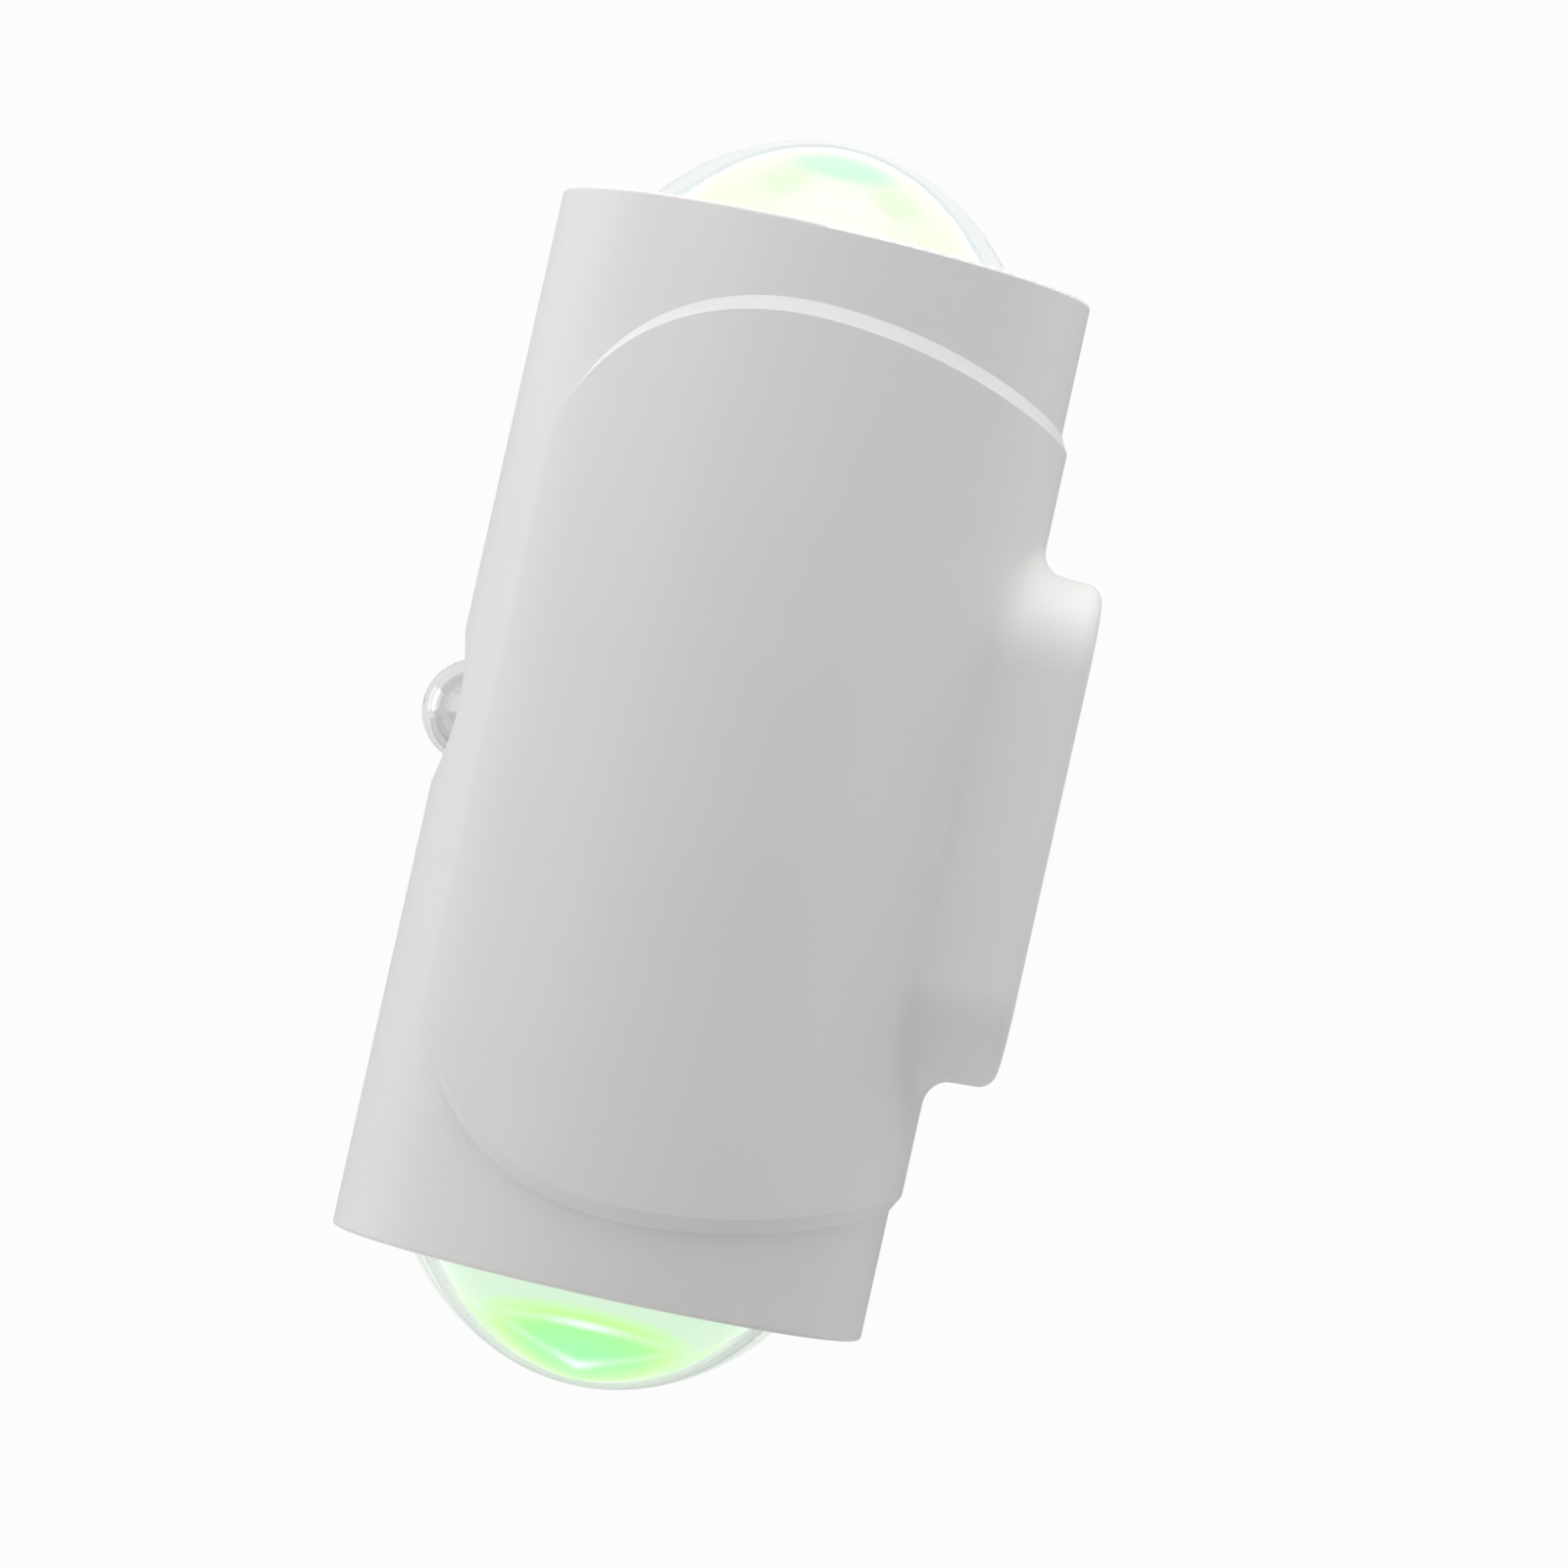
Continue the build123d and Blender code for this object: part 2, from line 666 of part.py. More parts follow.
with BuildPart() as back_cover:
    with BuildSketch(station(COVER_FACE)):
        RectangleRounded(*cover_size, cover_corner)
        with Locations(*corners(*COVER_SCREWS)):
            Circle(CLEAR_R, mode=Mode.SUBTRACT)
        with Locations((0, SUPPLY_Z)):
            Circle(inlet_r, mode=Mode.SUBTRACT)
    extrude(amount=COVER_T)
    fillet(back_cover.faces().sort_by(Axis.X)[-1].outer_wire().edges(), 0.5)
save(back_cover.part, "back_cover")

cover_screw = screw(head_r=2.1, head_h=1.6, shank_r=1.2, length=9.0, drive_r=0.9)
save(group(cover_screw, facing_wall(cover_back, corners(*COVER_SCREWS))), "back_cover_screws")

inlet_plane = Plane(origin=(0, 0, SUPPLY_Z), x_dir=(1, 0, 0), z_dir=(0, -1, 0))
inlet = turned(
    [
        (COVER_FACE - 1, 2.6),
        (COVER_FACE - 1, 5.0),
        (COVER_FACE, 5.0),
        (COVER_FACE, inlet_r - 0.05),
        (cover_back, inlet_r - 0.05),
        (cover_back, 5.0),
        (cover_back + 1, 5.0),
        (cover_back + 1, 2.6),
    ],
    inlet_plane,
    Axis((0, 0, SUPPLY_Z), (1, 0, 0)),
)
save(inlet, "inlet_grommet")

terminal_z, terminal_h, pole_pitch = -8.0, 9.0, 5.0
wire_x = cover_back + 3.0
terminal_top = cover_back + 7.0
poles = [(pole_pitch * i, terminal_z) for i in (-1, 0, 1)]
with BuildPart() as terminal_block:
    with BuildSketch(station(cover_back)):
        with Locations((0, terminal_z)):
            RectangleRounded(3 * pole_pitch + 1, terminal_h, 0.8)
    extrude(amount=7.0)
    with BuildSketch(station(terminal_top)):
        with Locations(*poles):
            Circle(1.7)
    extrude(amount=-2.2, mode=Mode.SUBTRACT)
    with BuildSketch(Plane(origin=(wire_x, 0, terminal_z + terminal_h / 2), z_dir=(0, 0, 1))):
        with Locations(*[(0, y) for y, _ in poles]):
            Circle(1.2)
    extrude(amount=-terminal_h, mode=Mode.SUBTRACT)
save(terminal_block.part, "terminal_block")

terminal_screw = screw(head_r=1.6, head_h=1.2, shank_r=1.0, length=0.4, drive_r=0.8)
save(group(terminal_screw, facing_wall(terminal_top - 1.8, poles)), "terminal_screws")

pole_exit = terminal_z + terminal_h / 2 - 2.5
supply_routes = [
    (
        [
            (wire_x, y, pole_exit),
            (wire_x, y, 4.0),
            (wire_x, near, SUPPLY_Z),
            (board_x, near, SUPPLY_Z),
        ],
        [3.0, 2.6],
    )
    for y, near in ((-pole_pitch, -1.2), (0, 1.2))
]
save(leads(supply_routes), "supply_leads")

# ---------------------------------------------------------------- wall side

plate_size = (POCKET_WIDTH - 2 * PLATE_GAP, POCKET_HEIGHT - 2 * PLATE_GAP)
plate_corner = POCKET_CORNER - PLATE_GAP
plate_front = PLATE_FACE - PLATE_T
hub_r = 6.0
earth = (9.6, 11.0)
earth_tap_r = 1.65


def cut_screw_slots():
    """Cuts the two upright slots for the wall screws out of the current sketch."""
    with Locations((0, SCREW_SPACING / 2), (0, -SCREW_SPACING / 2)):
        SlotOverall(SLOT_LENGTH, SCREW_SLOT, rotation=90, mode=Mode.SUBTRACT)


with BuildPart() as wall_plate:
    with BuildSketch(station(plate_front)):
        RectangleRounded(*plate_size, plate_corner)
        Circle(hub_r, mode=Mode.SUBTRACT)
        with Locations(earth):
            Circle(earth_tap_r, mode=Mode.SUBTRACT)
        cut_screw_slots()
    extrude(amount=PLATE_T)
    for end in (1, -1):
        with BuildSketch(Plane(origin=(plate_front, 0, end * plate_size[1] / 2), z_dir=(0, 0, -end))):
            Rectangle(TAB_DEPTH, TAB_WIDTH, align=(Align.MAX if end < 0 else Align.MIN, Align.CENTER))
        extrude(amount=PLATE_T)
save(wall_plate.part, "wall_plate")

with BuildPart() as plate_gasket:
    with BuildSketch(station(PLATE_FACE)):
        RectangleRounded(*plate_size, plate_corner)
        Circle(hub_r + 1.8, mode=Mode.SUBTRACT)
        cut_screw_slots()
    extrude(amount=-PLATE_FACE)
save(plate_gasket.part, "plate_gasket")

with BuildPart() as rim_seal:
    with BuildSketch(station(-SEAL_DEPTH)):
        outer_gap = 2 * SEAL_WIDTH - 0.1
        RectangleRounded(POCKET_WIDTH + outer_gap, POCKET_HEIGHT + outer_gap, POCKET_CORNER + 0.95)
        RectangleRounded(POCKET_WIDTH + 0.2, POCKET_HEIGHT + 0.2, POCKET_CORNER, mode=Mode.SUBTRACT)
    extrude(amount=SEAL_DEPTH)
save(rim_seal.part, "rim_seal")

room = Plane(origin=(0, 0, 0), x_dir=(1, 0, 0), z_dir=(0, -1, 0))
cable_grommet = turned(
    [
        (-0.1, CABLE_R),
        (-0.1, hub_r + 1.4),
        (PLATE_FACE, hub_r + 1.4),
        (PLATE_FACE, hub_r - 0.05),
        (plate_front, hub_r - 0.05),
        (plate_front, hub_r + 1.4),
        (plate_front - 1.5, hub_r + 1.4),
        (plate_front - 1.5, CABLE_R),
    ],
    room,
    Axis((0, 0, 0), (1, 0, 0)),
)
save(cable_grommet, "cable_grommet")

tag_t, tag_r = 0.8, 3.6
with BuildPart() as earth_tag:
    with BuildSketch(station(plate_front)):
        with Locations(earth):
            Circle(tag_r)
            Circle(earth_tap_r + 0.2, mode=Mode.SUBTRACT)
        with Locations((earth[0], earth[1] - tag_r - 1.5)):
            Rectangle(2.2, 4.4)
    extrude(amount=-tag_t)
    with BuildSketch(Plane(origin=(plate_front - 1.3, earth[0], earth[1] - 9.5), z_dir=(0, 0, 1))):
        Circle(1.3)
        Circle(0.8, mode=Mode.SUBTRACT)
    extrude(amount=3.6)
save(earth_tag.part, "earth_tag")

earth_screw = screw(head_r=3.3, head_h=2.0, shank_r=1.6, length=PLATE_T + tag_t, drive_r=1.2)
earth_seat = Plane(origin=(plate_front - tag_t, *earth), z_dir=(-1, 0, 0))
save(group(earth_screw, [earth_seat]), "earth_screw")

lock_tip, lock_length = plate_size[1] / 2 + 0.1, 4.0
with BuildPart() as lock_screw:
    with BuildSketch(Plane(origin=(LOCK_X, 0, lock_tip), z_dir=(0, 0, 1))):
        Circle(LOCK_R - 0.05)
    extrude(amount=lock_length)
    chamfer(lock_screw.edges().group_by(Axis.Z)[0], 0.3)
    with BuildSketch(Plane(origin=(LOCK_X, 0, lock_tip + lock_length), z_dir=(0, 0, 1))):
        RegularPolygon(0.85, 6)
    extrude(amount=-1.5, mode=Mode.SUBTRACT)
save_ends(lock_screw.part, "locking_screw")
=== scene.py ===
"""White wall light that shines up and down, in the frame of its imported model.

Everything is in metres. +X runs into the wall, +Z up, and the picture looks along +Y.
"""

import json
from math import radians

import bpy
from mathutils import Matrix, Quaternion, Vector


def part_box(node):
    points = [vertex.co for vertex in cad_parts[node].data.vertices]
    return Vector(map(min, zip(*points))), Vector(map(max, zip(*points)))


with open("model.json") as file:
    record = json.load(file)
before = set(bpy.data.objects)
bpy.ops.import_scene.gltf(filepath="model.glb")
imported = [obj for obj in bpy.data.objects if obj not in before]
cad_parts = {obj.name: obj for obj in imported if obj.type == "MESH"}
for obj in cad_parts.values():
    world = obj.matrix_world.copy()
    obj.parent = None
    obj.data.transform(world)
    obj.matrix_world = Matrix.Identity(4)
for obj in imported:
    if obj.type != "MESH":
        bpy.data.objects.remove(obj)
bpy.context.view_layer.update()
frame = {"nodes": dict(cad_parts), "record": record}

MM = 0.001

lens_low, lens_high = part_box("top_lens")
AXIS_X = (lens_low.x + lens_high.x) / 2


# ---------------------------------------------------------------- camera

EYE_DISTANCE = 921 * MM  # from the tube's axis
EYE_DROP = 15.1 * MM  # the eye is a little below the light's middle
AIM_BEHIND = 9.66 * MM  # the view's centre is this far behind the tube's axis
AIM_DROP = 0.4 * MM
CAMERA_ROLL = 12.6  # degrees: the light leans this far in the picture
SENSOR = 36.0
FOCAL_LENGTH = 163.06


def add_camera():
    eye = Vector((AXIS_X, -EYE_DISTANCE, -EYE_DROP))
    aim = Vector((AXIS_X + AIM_BEHIND, 0, -AIM_DROP))
    data = bpy.data.cameras.new("camera")
    data.sensor_width = SENSOR
    data.lens = FOCAL_LENGTH
    camera = bpy.data.objects.new("camera", data)
    camera.location = eye
    camera.rotation_mode = "QUATERNION"
    roll = Quaternion((0, 0, 1), radians(CAMERA_ROLL))
    camera.rotation_quaternion = (aim - eye).to_track_quat("-Z", "Y") @ roll
    bpy.context.scene.collection.objects.link(camera)
    bpy.context.scene.camera = camera


# ---------------------------------------------------------------- node helpers


class Nodes:
    """A short way to build one material's node tree."""

    def __init__(self, name):
        self.material = bpy.data.materials.new(name)
        self.material.use_nodes = True
        self.tree = self.material.node_tree
        self.tree.nodes.clear()
        self.output = self.add("ShaderNodeOutputMaterial")
        self.place = self.add("ShaderNodeTexCoord").outputs["Object"]

    def add(self, kind, **values):
        """A new node. A value that is a socket is linked, any other is set."""
        node = self.tree.nodes.new(kind)
        for key, value in values.items():
            if key in node.bl_rna.properties:
                setattr(node, key, value)
            else:
                self.give(node.inputs[key.replace("_", " ")], value)
        return node

    def give(self, target, value):
        if isinstance(value, bpy.types.NodeSocket):
            self.tree.links.new(value, target)
        elif target.type == "RGBA" and len(value) == 3:
            target.default_value = (*value, 1)
        else:
            target.default_value = value

    def math(self, operation, *values, clamp=False):
        node = self.add("ShaderNodeMath", operation=operation, use_clamp=clamp)
        for socket, value in zip(node.inputs, values):
            self.give(socket, value)
        return node.outputs[0]

    def noise(self, scale, detail=2.0, stretch=None):
        """Noise in the piece's own space, drawn out along an axis if stretch is given."""
        vector = self.place
        if stretch:
            vector = self.add("ShaderNodeMapping", Vector=vector, Scale=stretch).outputs[0]
        return self.add("ShaderNodeTexNoise", Vector=vector, Scale=scale, Detail=detail).outputs["Fac"]

    def span(self, value, low, high, to_low=0.0, to_high=1.0, smooth=False):
        """Maps low..high to to_low..to_high, clamped."""
        kind = "SMOOTHSTEP" if smooth else "LINEAR"
        node = self.add("ShaderNodeMapRange", interpolation_type=kind)
        for socket, number in zip(node.inputs, (value, low, high, to_low, to_high)):
            self.give(socket, number)
        return node.outputs[0]

    def ramp(self, value, *stops):
        """Colour ramp through (position, colour) stops."""
        node = self.add("ShaderNodeValToRGB", Fac=value)
        elements = node.color_ramp.elements
        while len(elements) < len(stops):
            elements.new(0.5)
        for element, (position, colour) in zip(elements, stops):
            element.position = position
            element.color = (*colour, 1)
        return node.outputs["Color"]

    def mix(self, factor, first, second):
        node = self.add("ShaderNodeMix", data_type="RGBA")
        sockets = (node.inputs[0], node.inputs[6], node.inputs[7])  # factor and the two colours
        for socket, value in zip(sockets, (factor, first, second)):
            self.give(socket, value)
        return node.outputs[2]

    def bump(self, height, depth, strength=1.0):
        node = self.add("ShaderNodeBump", Height=height, Strength=strength, Distance=depth)
        return node.outputs["Normal"]

    def finish(self, **values):
        """Ends the tree in a Principled shader with the given inputs."""
        shader = self.add("ShaderNodeBsdfPrincipled")
        for key, value in values.items():
            self.give(shader.inputs[key.replace("_", " ")], value)
        self.tree.links.new(shader.outputs["BSDF"], self.output.inputs["Surface"])
        return self.material


def shade(colour, factor):
    return tuple(min(1.0, part * factor) for part in colour)


# ---------------------------------------------------------------- materials of the outside


def powder_coat(name):
    """Matt white powder coat with a fine orange peel."""
    n = Nodes(name)
    cloud = n.noise(45.0, 3.0)
    colour = n.ramp(cloud, (0.3, (0.79, 0.788, 0.775)), (0.7, (0.805, 0.803, 0.792)))
    peel = n.noise(1400.0)
    normal = n.bump(peel, 0.03 * MM, 0.1)
    return n.finish(Base_Color=colour, Roughness=n.span(peel, 0.2, 0.8, 0.44, 0.54), Normal=normal)


def clear_glass(name, colour, waviness, glow=(1, 1, 1), strength=0.0):
    """Polished pressed glass with faint waves, and a painted glow: a faint emission that stands in for
    light scattered in it.
    """
    n = Nodes(name)
    normal = n.bump(n.noise(60.0, 1.0), waviness, 0.3)
    return n.finish(Base_Color=colour, Roughness=0.0, IOR=1.5, Transmission_Weight=1.0, Normal=normal,
                    Emission_Color=glow, Emission_Strength=strength)


# The optics under the glass carry a painted glow: emitted colour in a pattern that faces four ways,
# standing in for the LEDs' light as the lenses bend and focus it, so that the light looks much the same
# from all sides. Heights are measured from the light's middle.
EYE_TURN = 43.0  # degrees: half width of the front and back patterns round the axis
SIDE_TURN = 27.0  # the same for the two patterns at the sides
EYE_HIGH = 77.9 * MM  # tip of the painted highlight lines
EYE_LOW = 72.5 * MM
EYE_DROOP = 4.2 * MM  # fall of the painted highlight lines from tip to corner
EYE_ARCH = 0.9 * MM


def around(n):
    """Turn away from the nearest pattern's middle, as a share of its half width."""
    parts = n.add("ShaderNodeSeparateXYZ", Vector=n.place).outputs
    x = n.math("ABSOLUTE", n.math("SUBTRACT", parts[0], AXIS_X))
    y = n.math("ABSOLUTE", parts[1])
    turn = n.math("ARCTAN2", x, y)
    front = n.math("DIVIDE", turn, radians(EYE_TURN))
    side = n.math("DIVIDE", n.math("SUBTRACT", radians(90), turn), radians(SIDE_TURN))
    return n.math("MINIMUM", front, side), n.math("ABSOLUTE", parts[2])


def patch(n, share, height, middle, half_width, half_height):
    """1 in the middle of a soft oval patch, 0 outside it."""
    across = n.math("DIVIDE", n.math("SUBTRACT", share, middle[0]), half_width)
    along = n.math("DIVIDE", n.math("SUBTRACT", height, middle[1]), half_height)
    away = n.math("SQRT", n.math("ADD", n.math("POWER", across, 2), n.math("POWER", along, 2)))
    return away, n.span(away, 1.0, 0.4, 0.0, 1.0, smooth=True)


def line(n, height, at, half_width):
    """1 on a soft line at a given height, 0 away from it."""
    away = n.math("ABSOLUTE", n.math("SUBTRACT", height, at))
    return n.span(away, half_width, 0.0, 0.0, 1.0, smooth=True)


def top_glow(name):
    """Optic with a painted glow: emitted pale yellow white with pale green patches, standing in for the
    LED's light seen through the lens.
    """
    n = Nodes(name)
    share, height = around(n)
    cast = n.ramp(n.span(share, 0.2, 1.3), (0.0, (0.93, 0.93, 0.80)), (1.0, (0.93, 0.93, 0.70)))
    # painted light: the green patches are glow in the emission, not colour of the optic
    _, upper = patch(n, share, height, (0.1, 77.2 * MM), 0.9, 2.4 * MM)
    _, lower = patch(n, share, height, (0.62, 74.0 * MM), 0.42, 3.2 * MM)
    cast = n.mix(upper, cast, (0.60, 0.93, 0.66))
    cast = n.mix(n.math("MULTIPLY", lower, 0.5), cast, (0.74, 0.95, 0.56))
    return n.finish(Base_Color=(0.03, 0.03, 0.03), Roughness=0.15, Specular_IOR_Level=0.2,
                    Emission_Color=cast, Emission_Strength=1.13)


def bottom_glow(name):
    """Optic with a painted glow: emitted vivid green with a yellow-green halo, and painted highlights as
    pale lines in the shape of an eye, standing in for the LED's light bent by the lens.
    """
    n = Nodes(name)
    share, height = around(n)
    away, _ = patch(n, share, height, (0.0, 76.2 * MM), 1.5, 6.4 * MM)
    cast = n.ramp(
        away,
        (0.1, (0.27, 0.95, 0.34)),
        (0.5, (0.32, 0.96, 0.24)),
        (0.72, (0.50, 0.97, 0.22)),
        (1.0, (0.62, 0.78, 0.60)),
    )
    # painted highlights: the pale eye-shaped lines stand in for light focused by the lens
    tip = n.math("SUBTRACT", EYE_HIGH, n.math("MULTIPLY", n.math("POWER", share, 1.45), EYE_DROOP))
    low = n.math("ADD", EYE_LOW, n.math("MULTIPLY", n.math("POWER", share, 2.0), EYE_ARCH))
    middle = n.span(share, 0.5, 0.0, 0.0, 0.7, smooth=True)
    fade = n.math("ADD", middle, n.span(share, 1.15, 0.8, 0.0, 0.3))
    lines = n.math("MAXIMUM", line(n, height, tip, 1.1 * MM), line(n, height, low, 0.9 * MM))
    cast = n.mix(n.math("MULTIPLY", lines, fade), cast, (0.86, 1.0, 0.92))
    return n.finish(Base_Color=(0.01, 0.03, 0.01), Roughness=0.15, Specular_IOR_Level=0.2,
                    Emission_Color=cast, Emission_Strength=1.1)


def emitter(name, colour, light, strength):
    """Phosphor or resin face of an emitter, slightly granular."""
    n = Nodes(name)
    grain = n.noise(2500.0)
    face = n.mix(grain, shade(colour, 0.85), colour)
    return n.finish(Base_Color=face, Roughness=0.35, Emission_Color=light, Emission_Strength=strength)


# ---------------------------------------------------------------- materials of the inside


def plastic(name, colour, roughness, grain=700.0, depth=0.01 * MM):
    """Moulded plastic with a fine spark texture and slightly uneven gloss."""
    n = Nodes(name)
    spark = n.noise(grain, 3.0)
    tone = n.mix(n.noise(80.0), shade(colour, 0.93), shade(colour, 1.04))
    rough = n.span(spark, 0.25, 0.75, roughness * 0.85, min(1.0, roughness * 1.15))
    return n.finish(Base_Color=tone, Roughness=rough, Normal=n.bump(spark, depth, 0.3))


def foam(name, colour):
    """Closed-cell foam: small cells with soft walls."""
    n = Nodes(name)
    cells = n.add("ShaderNodeTexVoronoi", Vector=n.place, Scale=1800.0).outputs["Distance"]
    tone = n.ramp(cells, (0.1, shade(colour, 0.7)), (0.6, shade(colour, 1.25)))
    return n.finish(Base_Color=tone, Roughness=0.85, Normal=n.bump(cells, 0.05 * MM, 0.6))


def silicone(name, colour):
    n = Nodes(name)
    tone = n.mix(n.noise(120.0), shade(colour, 0.95), colour)
    return n.finish(Base_Color=tone, Roughness=0.35, Subsurface_Weight=0.3,
                    Subsurface_Radius=(0.002, 0.002, 0.002))


def metal(name, colour, roughness, stretch, spangle=0.0):
    """Plated or brushed metal: streaks along one axis and, for zinc, a faint spangle."""
    n = Nodes(name)
    streaks = n.noise(300.0, 4.0, stretch)
    grains = n.add("ShaderNodeTexVoronoi", Vector=n.place, Scale=260.0).outputs["Color"]
    grey = n.add("ShaderNodeRGBToBW", Color=grains).outputs[0]
    factor = n.math("ADD", n.math("MULTIPLY", grey, spangle), n.math("MULTIPLY", streaks, 0.5))
    tone = n.mix(factor, shade(colour, 0.82), shade(colour, 1.08))
    rough = n.span(streaks, 0.3, 0.7, roughness * 0.8, roughness * 1.2)
    return n.finish(Base_Color=tone, Metallic=1.0, Roughness=rough, Normal=n.bump(streaks, 0.004 * MM, 0.3))


def board(name, colour, track, pads):
    """Solder mask over copper: straight tracks show through it."""
    n = Nodes(name)
    grid = n.add("ShaderNodeMapping", Vector=n.place, Rotation=(0, radians(90), 0)).outputs[0]
    bricks = n.add("ShaderNodeTexBrick", Vector=grid, Scale=pads, Color1=colour,
                   Color2=shade(colour, 1.12), Mortar=track, Mortar_Size=0.05)
    return n.finish(Base_Color=bricks.outputs["Color"], Roughness=0.3, Coat_Weight=0.4,
                    Normal=n.bump(bricks.outputs["Fac"], 0.03 * MM, 0.4))


def wrapped(name, tape, core):
    """Yellow tape round a dark ferrite core, in overlapping turns."""
    n = Nodes(name)
    turns = n.add("ShaderNodeTexWave", Vector=n.place, Scale=180.0, bands_direction="Z",
                  wave_profile="SAW").outputs["Fac"]
    tone = n.ramp(turns, (0.0, shade(tape, 0.75)), (0.12, tape), (0.9, shade(tape, 1.05)))
    dust = n.span(n.noise(300.0), 0.62, 0.75)
    tone = n.mix(n.math("MULTIPLY", dust, 0.3), tone, core)
    return n.finish(Base_Color=tone, Roughness=0.28, Normal=n.bump(turns, 0.05 * MM, 0.5))


def sleeve(name, colour, band):
    """Shrink sleeve with a paler stripe down one side."""
    n = Nodes(name)
    parts = n.add("ShaderNodeSeparateXYZ", Vector=n.place).outputs
    stripe = n.span(n.math("ABSOLUTE", parts[1]), 3.4 * MM, 3.6 * MM, 1.0, 0.0)
    film = n.noise(90.0)
    tone = n.mix(n.math("MULTIPLY", stripe, 0.85), n.mix(film, shade(colour, 0.9), colour), band)
    return n.finish(Base_Color=tone, Roughness=n.span(film, 0.3, 0.7, 0.22, 0.3), Coat_Weight=0.3)


WALL_GRAIN = (1.0, 1.0, 0.06)  # streaks drawn out upwards
ROUND_GRAIN = (1.0, 1.0, 1.0)  # the same in every direction

FINISHES = {
    "powder_coat": (powder_coat,),
    # painted glow: the two lenses emit a faint tint that stands in for light scattered in the glass
    "top_glass_lens": (clear_glass, (0.87, 0.925, 0.915), 0.01 * MM, (0.95, 1.0, 0.9), 0.01),
    "bottom_glass_lens": (clear_glass, (0.89, 0.925, 0.905), 0.01 * MM, (0.68, 1.0, 0.66), 0.05),
    "front_glass": (clear_glass, (0.74, 0.745, 0.755), 0.05 * MM),
    "top_glow": (top_glow,),
    "bottom_glow": (bottom_glow,),
    "top_emitter": (emitter, (0.95, 0.85, 0.35), (1.0, 0.98, 0.7), 2.0),
    "bottom_emitter": (emitter, (0.35, 0.85, 0.35), (0.15, 1.0, 0.25), 2.0),
    "front_emitter": (emitter, (0.9, 0.8, 0.4), (1.0, 0.9, 0.6), 0.0),
    "white_plastic": (plastic, (0.84, 0.84, 0.82), 0.35),
    "bright_reflector": (metal, (0.86, 0.87, 0.88), 0.12, ROUND_GRAIN),
    "light_board": (board, (0.82, 0.83, 0.81), (0.7, 0.71, 0.69), 160.0),
    "clear_silicone": (silicone, (0.72, 0.74, 0.74)),
    "foam_rubber": (foam, (0.05, 0.05, 0.053)),
    "black_rubber": (plastic, (0.02, 0.02, 0.022), 0.6),
    "zinc_steel": (metal, (0.62, 0.63, 0.64), 0.32, WALL_GRAIN, 0.4),
    "plated_screw": (metal, (0.66, 0.66, 0.66), 0.22, ROUND_GRAIN),
    "black_screw": (metal, (0.06, 0.06, 0.065), 0.35, ROUND_GRAIN),
    "tinned_copper": (metal, (0.72, 0.69, 0.62), 0.25, WALL_GRAIN),
    "black_plastic": (plastic, (0.025, 0.025, 0.028), 0.45, 1100.0, 0.02 * MM),
    "terminal_nylon": (plastic, (0.74, 0.73, 0.66), 0.4),
    "lead_black": (plastic, (0.02, 0.02, 0.02), 0.5),
    "lead_white": (plastic, (0.78, 0.78, 0.76), 0.45),
    "circuit_board": (board, (0.015, 0.12, 0.04), (0.03, 0.2, 0.07), 320.0),
    "transformer_tape": (wrapped, (0.75, 0.52, 0.04), (0.04, 0.04, 0.04)),
    "capacitor_sleeve": (sleeve, (0.02, 0.024, 0.05), (0.5, 0.52, 0.55)),
    "choke_ferrite": (plastic, (0.03, 0.028, 0.028), 0.55, 900.0, 0.03 * MM),
    "film_capacitor": (plastic, (0.36, 0.03, 0.015), 0.2),
}


def paint_slots():
    """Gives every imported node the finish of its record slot."""
    made = {slot: make(slot, *values) for slot, (make, *values) in FINISHES.items()}
    for row in frame["record"]["subparts"]:
        piece = frame["nodes"][row["node"]]
        piece.data.materials.clear()
        piece.data.materials.append(made[row["material_slot"]])


# ---------------------------------------------------------------- studio

# Softboxes: place from the light's middle, size of the square, power in watts.
SOFTBOXES = {
    "left": ((-1.3, -0.2, 0.0), 0.9, 0.4),
    "left_front": ((-1.0, -0.9, 0.2), 0.9, 5.7),
    "left_high": ((-0.9, -0.4, 0.9), 0.9, 0.7),
    "left_behind": ((-1.2, 0.5, 0.1), 0.6, 2.0),
    "behind_left_high": ((-0.9, 0.9, 0.6), 0.8, 7.5),
    "behind_right_high": ((1.0, 0.5, 0.5), 1.0, 5.1),
    "high": ((0.0, -0.3, 1.3), 0.9, 1.45),
    "overhead": ((0.0, -0.05, 0.42), 0.45, 2.25),
    "right_near": ((0.24, -0.12, 0.0), 0.12, 0.11),
}
UNMIRRORED = ("overhead", "behind_left_high", "behind_right_high")  # not seen in the lenses
EVEN_LIGHT = 0.135  # strength of the dim light from all round
BACKDROP = 0.975  # grey value of the white that is seen behind the light
FLOOR_DEPTH = 0.35  # below the light's middle
FLOOR_HALF_WIDTH = 1.0


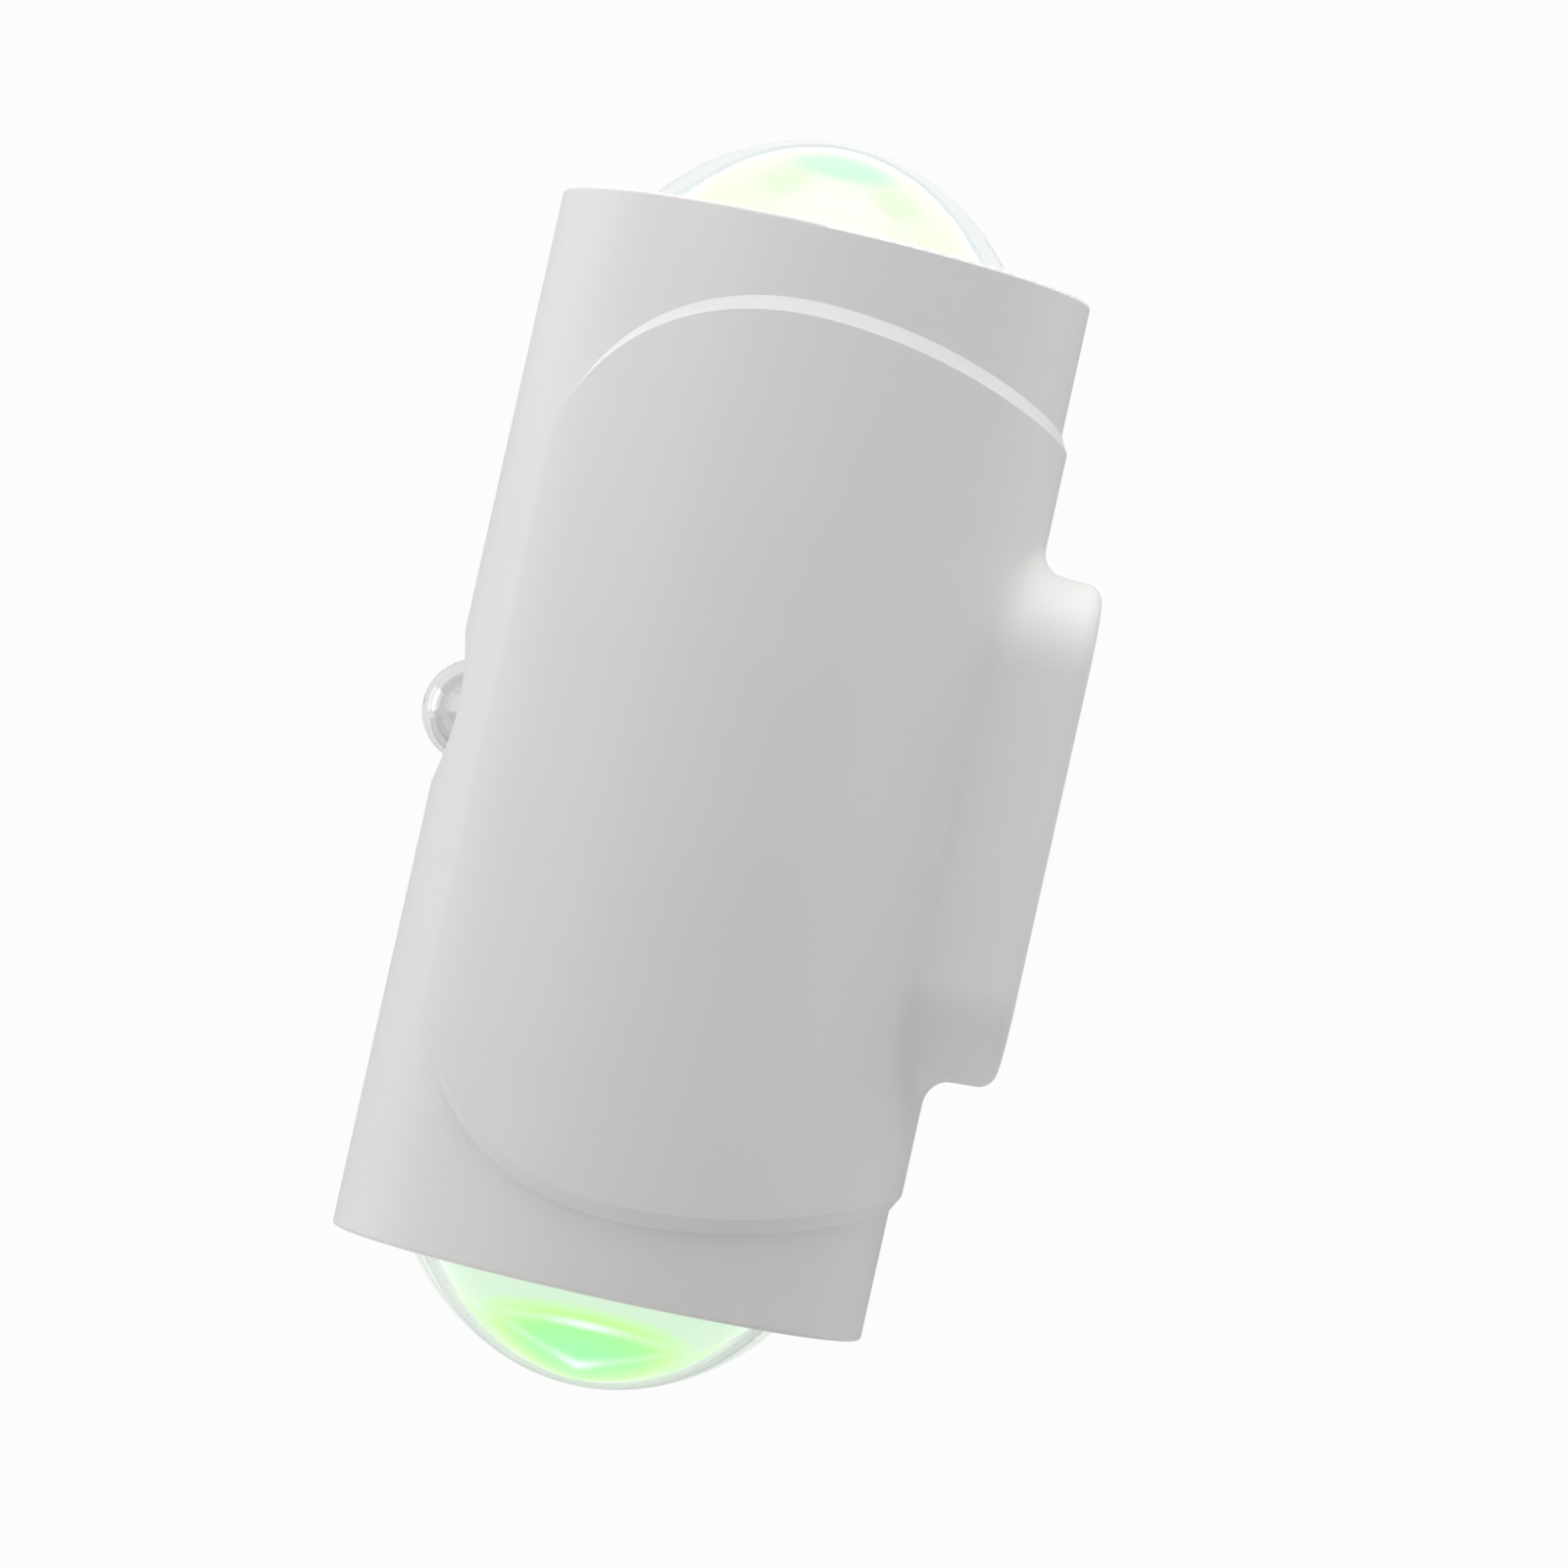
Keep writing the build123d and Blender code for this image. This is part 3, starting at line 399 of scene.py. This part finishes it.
def add_world():
    """White behind the light and in its glass, and a dim even light on everything else."""
    world = bpy.data.worlds.new("studio")
    bpy.context.scene.world = world
    world.use_nodes = True
    tree = world.node_tree
    tree.nodes.clear()
    seen = tree.nodes.new("ShaderNodeBackground")
    seen.inputs["Color"].default_value = (BACKDROP, BACKDROP, BACKDROP, 1)
    lit = tree.nodes.new("ShaderNodeBackground")
    lit.inputs["Color"].default_value = (1.0, 0.99, 0.975, 1)
    lit.inputs["Strength"].default_value = EVEN_LIGHT
    path = tree.nodes.new("ShaderNodeLightPath")
    either = tree.nodes.new("ShaderNodeMath")
    either.operation = "MAXIMUM"
    tree.links.new(path.outputs["Is Camera Ray"], either.inputs[0])
    tree.links.new(path.outputs["Is Singular Ray"], either.inputs[1])
    mix = tree.nodes.new("ShaderNodeMixShader")
    tree.links.new(either.outputs[0], mix.inputs["Fac"])
    tree.links.new(lit.outputs[0], mix.inputs[1])
    tree.links.new(seen.outputs[0], mix.inputs[2])
    output = tree.nodes.new("ShaderNodeOutputWorld")
    tree.links.new(mix.outputs[0], output.inputs["Surface"])


def add_softbox(name, place, size, power):
    """Square area light that faces the tube."""
    data = bpy.data.lights.new(name, "AREA")
    data.shape = "SQUARE"
    data.size = size
    data.energy = power
    lamp = bpy.data.objects.new(name, data)
    lamp.location = Vector((AXIS_X, 0, 0)) + Vector(place)
    lamp.rotation_mode = "QUATERNION"
    lamp.rotation_quaternion = (-Vector(place)).to_track_quat("-Z", "Y")
    if name in UNMIRRORED:
        lamp.visible_glossy = False
        lamp.visible_transmission = False
    bpy.context.scene.collection.objects.link(lamp)


def add_studio():
    add_world()
    for name, (place, size, power) in SOFTBOXES.items():
        add_softbox(name, place, size, power)


def add_floor():
    """Plain pale floor well below the light."""
    square = ((-1, -1), (1, -1), (1, 1), (-1, 1))
    corners = [(AXIS_X + FLOOR_HALF_WIDTH * x, FLOOR_HALF_WIDTH * y, -FLOOR_DEPTH) for x, y in square]
    mesh = bpy.data.meshes.new("floor")
    mesh.from_pydata(corners, [], [tuple(range(len(corners)))])
    floor = bpy.data.objects.new("floor", mesh)
    mesh.materials.append(plastic("floor", (0.85, 0.85, 0.85), 0.7, 40.0))
    bpy.context.scene.collection.objects.link(floor)


bpy.context.scene.view_settings.view_transform = "Standard"
add_camera()
paint_slots()
add_studio()
add_floor()
